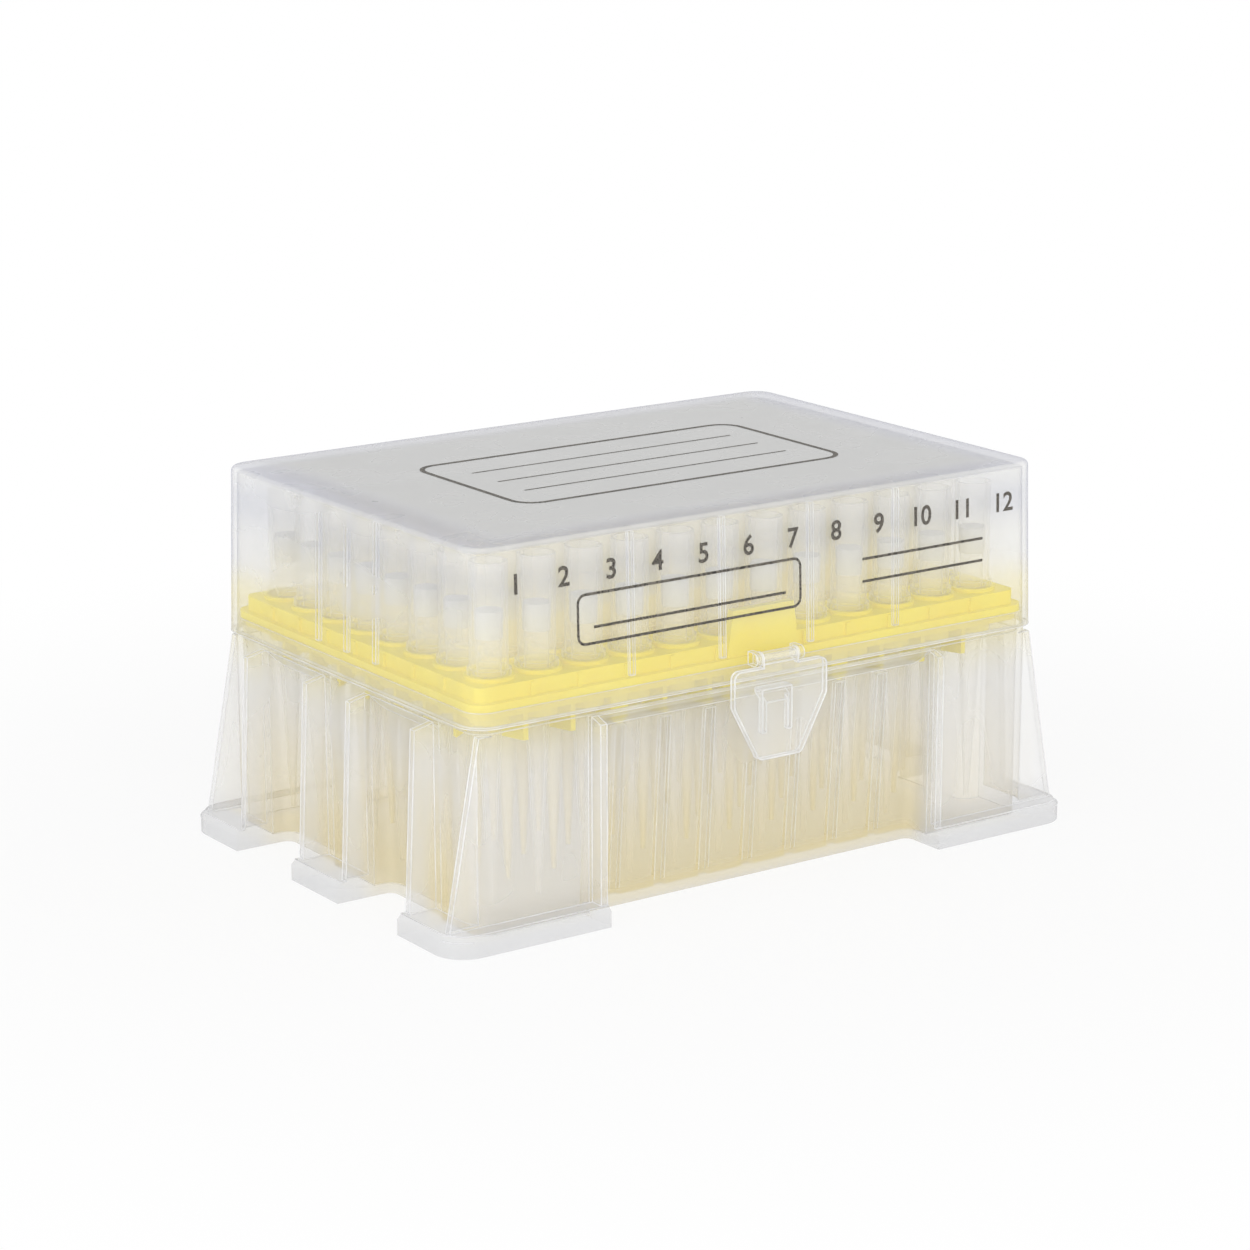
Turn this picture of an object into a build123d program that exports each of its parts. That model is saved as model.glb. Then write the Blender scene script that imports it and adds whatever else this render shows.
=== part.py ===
"""Hinged rack of 96 filtered pipette tips, one build123d solid per moulded piece.

Units are millimetres. The origin is the bottom centre of the footprint, +X runs along the long
side, -Y faces the latch, +Y faces the hinge and +Z is up. The lid is shut and the latch is down.
"""
import os
from math import atan2, degrees

from build123d import *

# Tip grid
COLUMNS = 12
ROWS = 8
PITCH = 9.0

# Joining and cutting: how far a rib runs into the wall it joins, and a cutter past what it cuts
OVERLAP = 0.2
OVERCUT = 1.0

# Base: foot plate, tub walls, ledge and spigot. The margins run from the outermost tips' axes.
FOOT_MARGIN_X = 14.38
FOOT_MARGIN_Y = 11.24
FOOT_HEIGHT = 3.5
FOOT_CORNER = 5.5
FOOT_EDGE = 0.8
TUB_INSET = 0.8
TUB_CORNER = 4.2
TUB_WALL = 1.1
FLOOR = 1.4
LEDGE_THICKNESS = 1.3
SPIGOT_HEIGHT = 2.3
SPIGOT_WALL = 0.9

# Base: recesses between the legs, and the thin fins that brace the legs
CORNER_LEG_WIDTH_X = 23.3
CORNER_LEG_WIDTH_Y = 13.1
FRONT_RECESS_DEPTH = 4.8
FRONT_RECESS_DRAFT = 2.2
MIDDLE_LEG_WIDTH = 15.0
SIDE_RECESS_DEPTH = 4.0
SIDE_RECESS_DRAFT = 1.3
RECESS_BROW = 2.6
RECESS_ROUND = 1.6
FIN_THICKNESS = 1.2
FIN_SETBACK_X = 1.68
FIN_SETBACK_Y = 1.14
SIDE_FIN_TOP_REACH = 3.5
FIN_TOP_DROP = 0.8
FIN_BOTTOM = 0.5
CORNER_FIN_INSET = 0.1
CORNER_FIN_TOP_INSET = 0.9
GUIDE_RIB_WIDTH = 2.0
GUIDE_RIB_DEPTH = 0.8
GUIDE_RIB_SPREAD = 3
GUIDE_RIB_GAP = 0.6

# Lid
LID_MARGIN_X = 8.6
LID_MARGIN_Y = 8.4
LID_HEADROOM = 2.8
LID_CORNER = 4.8
LID_DRAFT = 0.78
LID_WALL = 1.0
LID_ROOF = 1.1
LID_EDGE = 0.9
LID_RIB_WIDTH = 1.0
LID_RIB_DEPTH = 0.55
LID_FIT = 0.25

# Tip deck
DECK_RISE = 2.4
DECK_PLATE = 1.4
DECK_FLANGE_HEIGHT = 1.2
DECK_FLANGE_REACH = 1.4
DECK_BAND_WALL = 1.4
DECK_LID_GAP = 0.65
DECK_SKIRT_DEPTH = 1.5
DECK_SPIGOT_GAP = 0.35
DECK_WEB = 0.9
DECK_WEB_DEPTH = 8.9
DECK_WEB_SAG = 1.0
DECK_WEB_WALL_GAP = 0.35
DECK_SIDE_WEB_DEPTH = 5.2
DECK_LUG_STEPS = (-3.0, -0.5, 2.0)
DECK_LUG_WIDTH = 3.4
DECK_LUG_THICKNESS = 1.0
DECK_TICK_WIDTH = 0.8
DECK_TICK_DEPTH = 0.4
DECK_TICK_DROP = 0.3
SOCKET_RADIUS = 2.75
SOCKET_WALL = 0.55
SOCKET_DEPTH = 5.8
RING_RADIUS = 4.1
RING_HEIGHT = 0.6
GRIP_WIDTH = 14.6
GRIP_HEIGHT = 5.4
GRIP_TAPER = 1.1
GRIP_THICKNESS = 1.4
GRIP_GUSSET = 1.2
GRIP_GUSSET_DROP = 1.0
GRIP_BACK_GAP = 0.5

# Tips and their filters
TIP_REACH = 38.2
TIP_FLOOR_GAP = 2.6
HUB_HEIGHT = 18.3
TIP_END_RADIUS = 0.42
TIP_ORIFICE_RADIUS = 0.22
TIP_NECK_RADIUS = 2.45
TIP_WALL = 0.45
HUB_RADIUS = 3.1
COLLAR_RADIUS = 3.55
COLLAR_HEIGHT = 1.0
MOUTH_RADIUS = 2.6
MOUTH_DEPTH = 4.0
BORE_RADIUS = 2.45
FILTER_SEAT_RISE = 5.8
FILTER_SEAT_STEP = 0.2
FILTER_LENGTH = 4.5
FILTER_GAP = 0.05

# Rear hinge: pins moulded on the base, barrels moulded on the lid
HINGE_INSET = 11.8
HINGE_SETBACK = 1.0
HINGE_PIN_RADIUS = 0.7
HINGE_BARREL_RADIUS = 1.5
HINGE_BARREL_LENGTH = 10.0
HINGE_EAR = 1.6
HINGE_EAR_DROP = 7.0
HINGE_EAR_GAP = 0.2
HINGE_PLAY = 0.08
HINGE_GAP = 0.3

# Front latch: pin moulded on the lid, barrel moulded on the latch
LATCH_SETBACK = 1.4
LATCH_RISE = 3.7
LATCH_PIN_RADIUS = 0.55
LATCH_BARREL_RADIUS = 1.1
LATCH_BARREL_LENGTH = 7.0
LATCH_EAR = 1.0
LATCH_PLAY = 0.07
LATCH_GAP = 0.3
LATCH_WIDTH = 18.8
LATCH_TIP_WIDTH = 8.6
LATCH_SHOULDER = 6.0
LATCH_LENGTH = 15.4
LATCH_THICKNESS = 1.0
LATCH_CORNER = 1.2
CATCH_WIDTH = 6.0
CATCH_HEIGHT = 1.3
CATCH_FACE_GAP = 0.3
CATCH_DROP = 0.4
LATCH_RIB = 0.8
LATCH_RIB_LENGTH = 6.0

# Derived outlines
GRID_LENGTH = (COLUMNS - 1) * PITCH
GRID_WIDTH = (ROWS - 1) * PITCH
FOOT_LENGTH = GRID_LENGTH + 2 * FOOT_MARGIN_X
FOOT_WIDTH = GRID_WIDTH + 2 * FOOT_MARGIN_Y
LID_LENGTH = GRID_LENGTH + 2 * LID_MARGIN_X
LID_WIDTH = GRID_WIDTH + 2 * LID_MARGIN_Y
TUB_LENGTH = LID_LENGTH - 2 * TUB_INSET
TUB_WIDTH = LID_WIDTH - 2 * TUB_INSET
FRONT_RECESS_WIDTH = TUB_LENGTH - 2 * CORNER_LEG_WIDTH_X
SIDE_RECESS_WIDTH = (TUB_WIDTH - MIDDLE_LEG_WIDTH) / 2 - CORNER_LEG_WIDTH_Y
SPIGOT_LENGTH = LID_LENGTH - 2 * LID_WALL - 2 * LID_FIT
SPIGOT_WIDTH = LID_WIDTH - 2 * LID_WALL - 2 * LID_FIT
SPIGOT_CORNER = LID_CORNER - LID_WALL - LID_FIT
MOUTH_LENGTH = SPIGOT_LENGTH - 2 * SPIGOT_WALL
MOUTH_WIDTH = SPIGOT_WIDTH - 2 * SPIGOT_WALL
MOUTH_CORNER = SPIGOT_CORNER - SPIGOT_WALL
FLANGE_LENGTH = LID_LENGTH - 2 * LID_WALL - 2 * DECK_LID_GAP
FLANGE_WIDTH = LID_WIDTH - 2 * LID_WALL - 2 * DECK_LID_GAP
FLANGE_CORNER = LID_CORNER - LID_WALL - DECK_LID_GAP
BAND_LENGTH = FLANGE_LENGTH - 2 * DECK_FLANGE_REACH
BAND_WIDTH = FLANGE_WIDTH - 2 * DECK_FLANGE_REACH
BAND_CORNER = FLANGE_CORNER - DECK_FLANGE_REACH
ROW_Y = [PITCH * (row - (ROWS - 1) / 2) for row in range(ROWS)]
COLUMN_X = [PITCH * (column - (COLUMNS - 1) / 2) for column in range(COLUMNS)]

# Derived levels, from the tips' ends up
TIP_END = FLOOR + TIP_FLOOR_GAP
SHOULDER = TIP_END + TIP_REACH
DECK_TOP = SHOULDER - RING_HEIGHT
PLATE_BOTTOM = DECK_TOP - DECK_PLATE
FLANGE_TOP = DECK_TOP - DECK_RISE
SPIGOT_TOP = FLANGE_TOP - DECK_FLANGE_HEIGHT
LEDGE_TOP = SPIGOT_TOP - SPIGOT_HEIGHT
LEDGE_BOTTOM = LEDGE_TOP - LEDGE_THICKNESS
WEB_BOTTOM = PLATE_BOTTOM - DECK_WEB_DEPTH
FILTER_SEAT = SHOULDER + FILTER_SEAT_RISE
TIP_TOP = SHOULDER + HUB_HEIGHT
LID_TOP = TIP_TOP + LID_HEADROOM + LID_ROOF
LID_TAPER = degrees(atan2(LID_DRAFT, LID_TOP - LEDGE_TOP))

# Derived hinge and latch axes
HINGE_X = TUB_LENGTH / 2 - HINGE_INSET
HINGE_Y = LID_WIDTH / 2 + HINGE_SETBACK
HINGE_Z = LEDGE_TOP
LATCH_Y = -LID_WIDTH / 2 - LATCH_SETBACK
LATCH_Z = LEDGE_TOP + LATCH_RISE


def rounded_block(length, width, corner, bottom, top, taper=0.0):
    """Upright block with rounded corners, drawn in by taper degrees towards its top."""
    outline = Plane.XY.offset(bottom) * RectangleRounded(length, width, corner)
    return extrude(outline, top - bottom, taper=taper)


def box_between(x_span, y_span, z_span):
    """Box from its low and high corner along each axis."""
    size = [high - low for low, high in (x_span, y_span, z_span)]
    middle = [(high + low) / 2 for low, high in (x_span, y_span, z_span)]
    return Pos(*middle) * Box(*size)


def plate_yz(points, x_low, x_high):
    """Flat plate with an outline of (y, z) points, between two values of X."""
    face = make_face(Polyline([(x_low, y, z) for y, z in points], close=True))
    return extrude(face, x_high - x_low, dir=(1, 0, 0))


def plate_xz(points, y_low, y_high):
    """Flat plate with an outline of (x, z) points, between two values of Y."""
    face = make_face(Polyline([(x, y_low, z) for x, z in points], close=True))
    return extrude(face, y_high - y_low, dir=(0, 1, 0))


def rod_x(radius, x_low, x_high, y, z):
    """Round rod along X."""
    return Pos((x_low + x_high) / 2, y, z) * Rot(0, 90, 0) * Cylinder(radius, x_high - x_low)


def mirrored(shape, *planes):
    """The shape together with its mirror images in each plane in turn."""
    for plane in planes:
        shape = shape + mirror(shape, plane)
    return shape


def recess_outline(wall, far, draft, grow):
    """Section of a recess: distance from the middle plane against height."""
    brow_bottom = LEDGE_BOTTOM - RECESS_BROW
    return [
        (far, -OVERCUT),
        (wall - grow, -OVERCUT),
        (wall + draft - grow, brow_bottom),
        (wall + draft + RECESS_BROW - grow, LEDGE_BOTTOM),
        (far, LEDGE_BOTTOM),
    ]


def recesses(grow):
    """Cutters for the six recesses between the legs, larger by grow on every wall."""
    far = FOOT_LENGTH
    front_wall = TUB_WIDTH / 2 - FRONT_RECESS_DEPTH
    half = FRONT_RECESS_WIDTH / 2 + grow
    front = plate_yz(recess_outline(front_wall, far, FRONT_RECESS_DRAFT, grow), -half, half)
    side_wall = TUB_LENGTH / 2 - SIDE_RECESS_DEPTH
    near = MIDDLE_LEG_WIDTH / 2 - grow
    side = plate_xz(
        recess_outline(side_wall, far, SIDE_RECESS_DRAFT, grow), near, near + SIDE_RECESS_WIDTH + 2 * grow
    )
    rounding = RECESS_ROUND + grow
    front = fillet(wall_corners(front, front_wall - grow, "y"), rounding)
    side = fillet(wall_corners(side, side_wall - grow, "x"), rounding)
    return mirrored(front, Plane.XZ) + mirrored(side, Plane.XZ, Plane.YZ)


def wall_corners(cutter, wall, direction):
    """The two near-upright edges where a recess cutter's back wall meets its sides."""
    chosen = []
    for edge in cutter.edges():
        low = min(edge.vertices(), key=lambda vertex: vertex.Z)
        place = low.Y if direction == "y" else low.X
        if edge.bounding_box().size.Z > LEDGE_BOTTOM / 2 and abs(place - wall) < 0.01:
            chosen.append(edge)
    return chosen


def fins():
    """Thin upright webs that run from the tub's wall out to the foot plate."""
    top = LEDGE_BOTTOM
    tub_x = TUB_LENGTH / 2
    tub_y = TUB_WIDTH / 2
    inner_x = tub_x - TUB_WALL / 2
    inner_y = tub_y - TUB_WALL / 2
    corner_x = tub_x - TUB_CORNER
    corner_y = tub_y - CORNER_FIN_INSET
    end_x = FOOT_LENGTH / 2 - FIN_SETBACK_X
    end_y = FOOT_WIDTH / 2 - FIN_SETBACK_Y
    corner = plate_xz(
        [(corner_x, FIN_BOTTOM), (end_x, FIN_BOTTOM), (end_x, FOOT_HEIGHT),
         (tub_x - CORNER_FIN_TOP_INSET, top), (corner_x, top)],
        corner_y - FIN_THICKNESS,
        corner_y,
    )
    side_outline = [
        (inner_x, FIN_BOTTOM),
        (end_x, FIN_BOTTOM),
        (end_x, FOOT_HEIGHT),
        (tub_x + SIDE_FIN_TOP_REACH, top - FIN_TOP_DROP),
        (tub_x, top),
        (inner_x, top),
    ]
    middle = MIDDLE_LEG_WIDTH / 2
    outer = middle + SIDE_RECESS_WIDTH
    side = plate_xz(side_outline, middle - FIN_THICKNESS, middle)
    side += plate_xz(side_outline, outer, outer + FIN_THICKNESS)
    front = plate_yz(
        [(inner_y, FIN_BOTTOM), (end_y, FIN_BOTTOM), (end_y, top - FIN_TOP_DROP), (tub_y, top),
         (inner_y, top)],
        FRONT_RECESS_WIDTH / 2,
        FRONT_RECESS_WIDTH / 2 + FIN_THICKNESS,
    )
    return mirrored(corner + side + front, Plane.XZ, Plane.YZ)


def guide_ribs():
    """Shallow upright ribs inside the front and rear walls, one between each pair of columns."""
    wall = TUB_WIDTH / 2 - FRONT_RECESS_DEPTH - TUB_WALL
    rise = WEB_BOTTOM - GUIDE_RIB_GAP
    lean = FRONT_RECESS_DRAFT * rise / (LEDGE_BOTTOM - RECESS_BROW)
    outline = [
        (wall + TUB_WALL / 2, FLOOR - OVERLAP),
        (wall - GUIDE_RIB_DEPTH, FLOOR - OVERLAP),
        (wall + lean - GUIDE_RIB_DEPTH, rise),
        (wall + lean + TUB_WALL / 2, rise),
    ]
    ribs = Part()
    for step in range(-GUIDE_RIB_SPREAD, GUIDE_RIB_SPREAD + 1):
        x = step * PITCH
        ribs += plate_yz(outline, x - GUIDE_RIB_WIDTH / 2, x + GUIDE_RIB_WIDTH / 2)
    return mirrored(ribs, Plane.XZ)


def hinge_ears():
    """Two pairs of ears behind the rear legs, each pair with a pin across it."""
    wall = TUB_WIDTH / 2
    nose = HINGE_Y + HINGE_BARREL_RADIUS
    outline = [
        (wall - TUB_WALL / 2, LEDGE_BOTTOM - HINGE_EAR_DROP),
        (wall, LEDGE_BOTTOM - HINGE_EAR_DROP),
        (nose, LEDGE_BOTTOM - HINGE_BARREL_RADIUS),
        (nose, HINGE_Z),
        (HINGE_Y, HINGE_Z),
        (HINGE_Y - HINGE_BARREL_RADIUS, LEDGE_TOP - HINGE_EAR_GAP),
        (wall - TUB_WALL / 2, LEDGE_TOP - HINGE_EAR_GAP),
    ]
    half = HINGE_BARREL_LENGTH / 2 + HINGE_GAP
    ears = Part()
    for low in (HINGE_X - half - HINGE_EAR, HINGE_X + half):
        ears += plate_yz(outline, low, low + HINGE_EAR)
        ears += rod_x(HINGE_BARREL_RADIUS, low, low + HINGE_EAR, HINGE_Y, HINGE_Z)
    reach = half + HINGE_EAR
    ears += rod_x(HINGE_PIN_RADIUS, HINGE_X - reach, HINGE_X + reach, HINGE_Y, HINGE_Z)
    return mirrored(ears, Plane.YZ)


def make_base():
    """One-piece tub with six legs, a foot plate, the lid's ledge and spigot, and the hinge pins."""
    foot = rounded_block(FOOT_LENGTH, FOOT_WIDTH, FOOT_CORNER, 0, FOOT_HEIGHT)
    foot = chamfer(foot.faces().sort_by(Axis.Z)[-1].edges(), FOOT_EDGE)
    tub = rounded_block(TUB_LENGTH, TUB_WIDTH, TUB_CORNER, 0, LEDGE_BOTTOM)
    body = foot + tub + fins() - recesses(0.0)
    body += rounded_block(TUB_LENGTH, TUB_WIDTH, TUB_CORNER, LEDGE_BOTTOM, LEDGE_TOP)
    body += rounded_block(SPIGOT_LENGTH, SPIGOT_WIDTH, SPIGOT_CORNER, LEDGE_BOTTOM, SPIGOT_TOP)
    inner_length = TUB_LENGTH - 2 * TUB_WALL
    inner_width = TUB_WIDTH - 2 * TUB_WALL
    hollow = rounded_block(inner_length, inner_width, TUB_CORNER - TUB_WALL, FLOOR, LEDGE_BOTTOM)
    hollow -= recesses(TUB_WALL)
    body -= hollow
    body -= rounded_block(
        MOUTH_LENGTH, MOUTH_WIDTH, MOUTH_CORNER, LEDGE_BOTTOM - OVERCUT, SPIGOT_TOP + OVERCUT
    )
    return body + guide_ribs() + hinge_ears()


def lid_face(half_size, height):
    """Distance from the middle plane to the lid's inner wall at a height."""
    return half_size - LID_WALL - LID_DRAFT * (height - LEDGE_TOP) / (LID_TOP - LEDGE_TOP)


def lid_ribs():
    """Shallow upright ribs inside the lid, between columns and between rows."""
    bottom = FLANGE_TOP + DECK_LID_GAP
    roof = LID_TOP - LID_ROOF / 2
    middle = (bottom + roof) / 2
    ribs = Part()
    half = LID_RIB_WIDTH / 2
    face = lid_face(LID_WIDTH / 2, middle)
    lean = lid_face(LID_WIDTH / 2, bottom) - face
    outline = [
        (face + lean + LID_WALL / 2, bottom),
        (face + lean - LID_RIB_DEPTH, bottom),
        (face - lean - LID_RIB_DEPTH, roof),
        (face - lean + LID_WALL / 2, roof),
    ]
    for step in (-3, -1, 1, 3):
        ribs += plate_yz(outline, step * PITCH - half, step * PITCH + half)
    across = (LID_LENGTH - LID_WIDTH) / 2
    side_outline = [(y + across, z) for y, z in outline]
    side = Part()
    for step in (-1, 0, 1):
        side += plate_xz(side_outline, step * PITCH - half, step * PITCH + half)
    return mirrored(ribs, Plane.XZ) + mirrored(side, Plane.YZ)


def make_lid():
    """Drafted cover with two hinge barrels behind and the latch's ears in front."""
    shell = rounded_block(LID_LENGTH, LID_WIDTH, LID_CORNER, LEDGE_TOP, LID_TOP, LID_TAPER)
    shell = fillet(shell.faces().sort_by(Axis.Z)[-1].edges(), LID_EDGE)
    hollow = rounded_block(
        LID_LENGTH - 2 * LID_WALL, LID_WIDTH - 2 * LID_WALL, LID_CORNER - LID_WALL,
        LEDGE_TOP, LID_TOP - LID_ROOF, LID_TAPER,
    )
    hollow = fillet(hollow.faces().sort_by(Axis.Z)[-1].edges(), LID_EDGE / 2)
    lid = shell - hollow + lid_ribs()
    wall = LID_WIDTH / 2
    barrel_low = HINGE_X - HINGE_BARREL_LENGTH / 2
    barrel_high = HINGE_X + HINGE_BARREL_LENGTH / 2
    hinge = rod_x(HINGE_BARREL_RADIUS, barrel_low, barrel_high, HINGE_Y, HINGE_Z)
    hinge += box_between(
        (barrel_low, barrel_high), (wall - LID_WALL / 2, HINGE_Y), (HINGE_Z, HINGE_Z + HINGE_BARREL_RADIUS)
    )
    lid += mirrored(hinge, Plane.YZ)
    reach = HINGE_BARREL_LENGTH / 2 + 2 * HINGE_GAP + HINGE_EAR
    bore = rod_x(
        HINGE_PIN_RADIUS + HINGE_PLAY, barrel_low - OVERCUT, barrel_high + OVERCUT, HINGE_Y, HINGE_Z
    )
    notch_z = (LEDGE_TOP - OVERCUT, HINGE_Z + HINGE_BARREL_RADIUS + HINGE_GAP)
    notch_y = (wall - LID_WALL - OVERLAP, wall + OVERLAP)
    notches = box_between((HINGE_X - reach, barrel_low), notch_y, notch_z)
    notches += box_between((barrel_high, HINGE_X + reach), notch_y, notch_z)
    lid -= mirrored(bore + notches, Plane.YZ)
    half = LATCH_BARREL_LENGTH / 2 + LATCH_GAP
    ear = rod_x(LATCH_BARREL_RADIUS, half, half + LATCH_EAR, LATCH_Y, LATCH_Z)
    ear += box_between(
        (half, half + LATCH_EAR), (LATCH_Y, -lid_face(wall, LATCH_Z) - LID_WALL / 2),
        (LATCH_Z - LATCH_BARREL_RADIUS, LATCH_Z + LATCH_BARREL_RADIUS),
    )
    lid += mirrored(ear, Plane.YZ)
    return lid + rod_x(LATCH_PIN_RADIUS, -half - LATCH_EAR, half + LATCH_EAR, LATCH_Y, LATCH_Z)


def make_latch():
    """Tapered flap with a snap-on barrel above and a catch nose on its inner face."""
    back = LATCH_Y - LATCH_BARREL_RADIUS + LATCH_THICKNESS
    front = LATCH_Y - LATCH_BARREL_RADIUS
    top = LATCH_Z - LATCH_BARREL_RADIUS - LATCH_GAP
    bottom = top - LATCH_LENGTH
    flap = plate_xz(
        [(-LATCH_WIDTH / 2, top), (-LATCH_WIDTH / 2, top - LATCH_SHOULDER), (-LATCH_TIP_WIDTH / 2, bottom),
         (LATCH_TIP_WIDTH / 2, bottom), (LATCH_WIDTH / 2, top - LATCH_SHOULDER), (LATCH_WIDTH / 2, top)],
        front, back,
    )
    flap = fillet(flap.edges().filter_by(Axis.Y), LATCH_CORNER)
    half = LATCH_BARREL_LENGTH / 2
    latch = flap + box_between((-half, half), (front, back), (top - LATCH_SHOULDER / 2, LATCH_Z))
    latch += rod_x(LATCH_BARREL_RADIUS, -half, half, LATCH_Y, LATCH_Z)
    nose_y = -TUB_WIDTH / 2 - CATCH_FACE_GAP
    nose_top = LEDGE_BOTTOM - CATCH_DROP
    latch += plate_yz(
        [(back - LATCH_THICKNESS / 2, nose_top), (nose_y, nose_top), (nose_y, nose_top - CATCH_HEIGHT / 2),
         (back - LATCH_THICKNESS / 2, nose_top - 2 * CATCH_HEIGHT)],
        -CATCH_WIDTH / 2, CATCH_WIDTH / 2,
    )
    rib_top = nose_top - CATCH_HEIGHT
    for side in (-1, 1):
        x = side * (CATCH_WIDTH - LATCH_RIB) / 2
        latch += box_between(
            (x - LATCH_RIB / 2, x + LATCH_RIB / 2), (back - LATCH_THICKNESS / 2, back + LATCH_RIB),
            (rib_top - LATCH_RIB_LENGTH, rib_top),
        )
    return latch - rod_x(LATCH_PIN_RADIUS + LATCH_PLAY, -half - OVERCUT, half + OVERCUT, LATCH_Y, LATCH_Z)


def deck_webs():
    """Ribs under the deck: one between each pair of columns, and one between each pair of rows."""
    top = DECK_TOP - DECK_PLATE / 2
    end_y = TUB_WIDTH / 2 - FRONT_RECESS_DEPTH + FRONT_RECESS_DRAFT - TUB_WALL - DECK_WEB_WALL_GAP
    end_x = TUB_LENGTH / 2 - SIDE_RECESS_DEPTH + SIDE_RECESS_DRAFT - TUB_WALL - DECK_WEB_WALL_GAP
    low = WEB_BOTTOM - DECK_WEB_SAG
    side_low = PLATE_BOTTOM - DECK_SIDE_WEB_DEPTH
    across = [
        (-end_y, top), (-end_y, WEB_BOTTOM), (PITCH - end_y, low),
        (end_y - PITCH, low), (end_y, WEB_BOTTOM), (end_y, top),
    ]
    along = [
        (-end_x, top), (-end_x, WEB_BOTTOM), (PITCH - end_x, side_low),
        (end_x - PITCH, side_low), (end_x, WEB_BOTTOM), (end_x, top),
    ]
    half = DECK_WEB / 2
    webs = Part()
    for step in range(1 - COLUMNS // 2, COLUMNS // 2):
        webs += plate_yz(across, step * PITCH - half, step * PITCH + half)
    for step in range(1 - ROWS // 2, ROWS // 2):
        webs += plate_xz(along, step * PITCH - half, step * PITCH + half)
    lug_bottom = WEB_BOTTOM - GUIDE_RIB_GAP / 2 + DECK_LUG_WIDTH / 2
    for step in DECK_LUG_STEPS:
        x = step * PITCH
        disc = Pos(x, DECK_LUG_THICKNESS / 2 - end_y, lug_bottom) * Rot(90, 0, 0)
        webs += disc * Cylinder(DECK_LUG_WIDTH / 2, DECK_LUG_THICKNESS)
        webs += box_between(
            (x - DECK_LUG_WIDTH / 2, x + DECK_LUG_WIDTH / 2), (-end_y, DECK_LUG_THICKNESS - end_y),
            (lug_bottom, top),
        )
    return webs


def deck_ticks():
    """Small upright ribs on the deck's outer band, one between each pair of columns and rows."""
    ticks = Part()
    half = DECK_TICK_WIDTH / 2
    z_span = (FLANGE_TOP - OVERLAP, DECK_TOP - DECK_TICK_DROP)
    face_y = BAND_WIDTH / 2
    for step in range(1 - COLUMNS // 2, COLUMNS // 2):
        x = step * PITCH
        ticks += box_between((x - half, x + half), (face_y - OVERLAP, face_y + DECK_TICK_DEPTH), z_span)
    face_x = BAND_LENGTH / 2
    side = Part()
    for step in range(1 - ROWS // 2, ROWS // 2):
        y = step * PITCH
        side += box_between((face_x - OVERLAP, face_x + DECK_TICK_DEPTH), (y - half, y + half), z_span)
    return mirrored(ticks, Plane.XZ) + mirrored(side, Plane.YZ)


def deck_grip():
    """Raised tab at the deck's front edge, with a gusset behind each end."""
    front = -BAND_WIDTH / 2 - DECK_FLANGE_REACH / 2
    half = GRIP_WIDTH / 2
    back = front + GRIP_THICKNESS
    grip_top = DECK_TOP + GRIP_HEIGHT
    tab = plate_xz(
        [(-half, FLANGE_TOP - OVERLAP), (half, FLANGE_TOP - OVERLAP), (half - GRIP_TAPER, grip_top),
         (GRIP_TAPER - half, grip_top)],
        front, back,
    )
    reach = ROW_Y[0] - COLLAR_RADIUS - GRIP_BACK_GAP
    outline = [
        (back - OVERLAP, DECK_TOP - OVERLAP),
        (reach, DECK_TOP - OVERLAP),
        (back - OVERLAP, grip_top - GRIP_GUSSET_DROP),
    ]
    gusset = plate_yz(outline, half - GRIP_TAPER - GRIP_GUSSET, half - GRIP_TAPER)
    return tab + mirrored(gusset, Plane.YZ)


def make_deck():
    """Perforated plate that carries the tips and rests on the base's spigot."""
    deck = rounded_block(FLANGE_LENGTH, FLANGE_WIDTH, FLANGE_CORNER, SPIGOT_TOP, FLANGE_TOP)
    deck += rounded_block(BAND_LENGTH, BAND_WIDTH, BAND_CORNER, SPIGOT_TOP, DECK_TOP)
    deck += rounded_block(
        MOUTH_LENGTH - 2 * DECK_SPIGOT_GAP, MOUTH_WIDTH - 2 * DECK_SPIGOT_GAP,
        MOUTH_CORNER - DECK_SPIGOT_GAP, SPIGOT_TOP - DECK_SKIRT_DEPTH, SPIGOT_TOP,
    )
    deck -= rounded_block(
        BAND_LENGTH - 2 * DECK_BAND_WALL, BAND_WIDTH - 2 * DECK_BAND_WALL, BAND_CORNER - DECK_BAND_WALL / 2,
        SPIGOT_TOP - DECK_SKIRT_DEPTH - OVERCUT, PLATE_BOTTOM,
    )
    deck += deck_webs() + deck_ticks() + deck_grip()
    places = [(x, y) for x in COLUMN_X for y in ROW_Y]
    rings = [Pos(x, y, 0) * Circle(RING_RADIUS) for x, y in places]
    sleeves = [Pos(x, y, 0) * Circle(SOCKET_RADIUS + SOCKET_WALL) for x, y in places]
    holes = [Pos(x, y, 0) * Circle(SOCKET_RADIUS) for x, y in places]
    deck += extrude(Pos(0, 0, PLATE_BOTTOM) * Sketch(rings), SHOULDER - PLATE_BOTTOM)
    deck += extrude(Pos(0, 0, PLATE_BOTTOM - SOCKET_DEPTH) * Sketch(sleeves), SOCKET_DEPTH + OVERLAP)
    hole_bottom = WEB_BOTTOM - 2 * DECK_WEB_SAG
    deck -= extrude(Pos(0, 0, hole_bottom) * Sketch(holes), SHOULDER - hole_bottom + OVERCUT)
    return deck


def bore_radius(height):
    """Radius of a tip's bore between the filter seat and the mouth."""
    seat_radius = BORE_RADIUS - FILTER_SEAT_STEP
    mouth_bottom = TIP_TOP - MOUTH_DEPTH
    share = (height - FILTER_SEAT) / (mouth_bottom - FILTER_SEAT)
    return seat_radius + (BORE_RADIUS - seat_radius) * share


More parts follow.
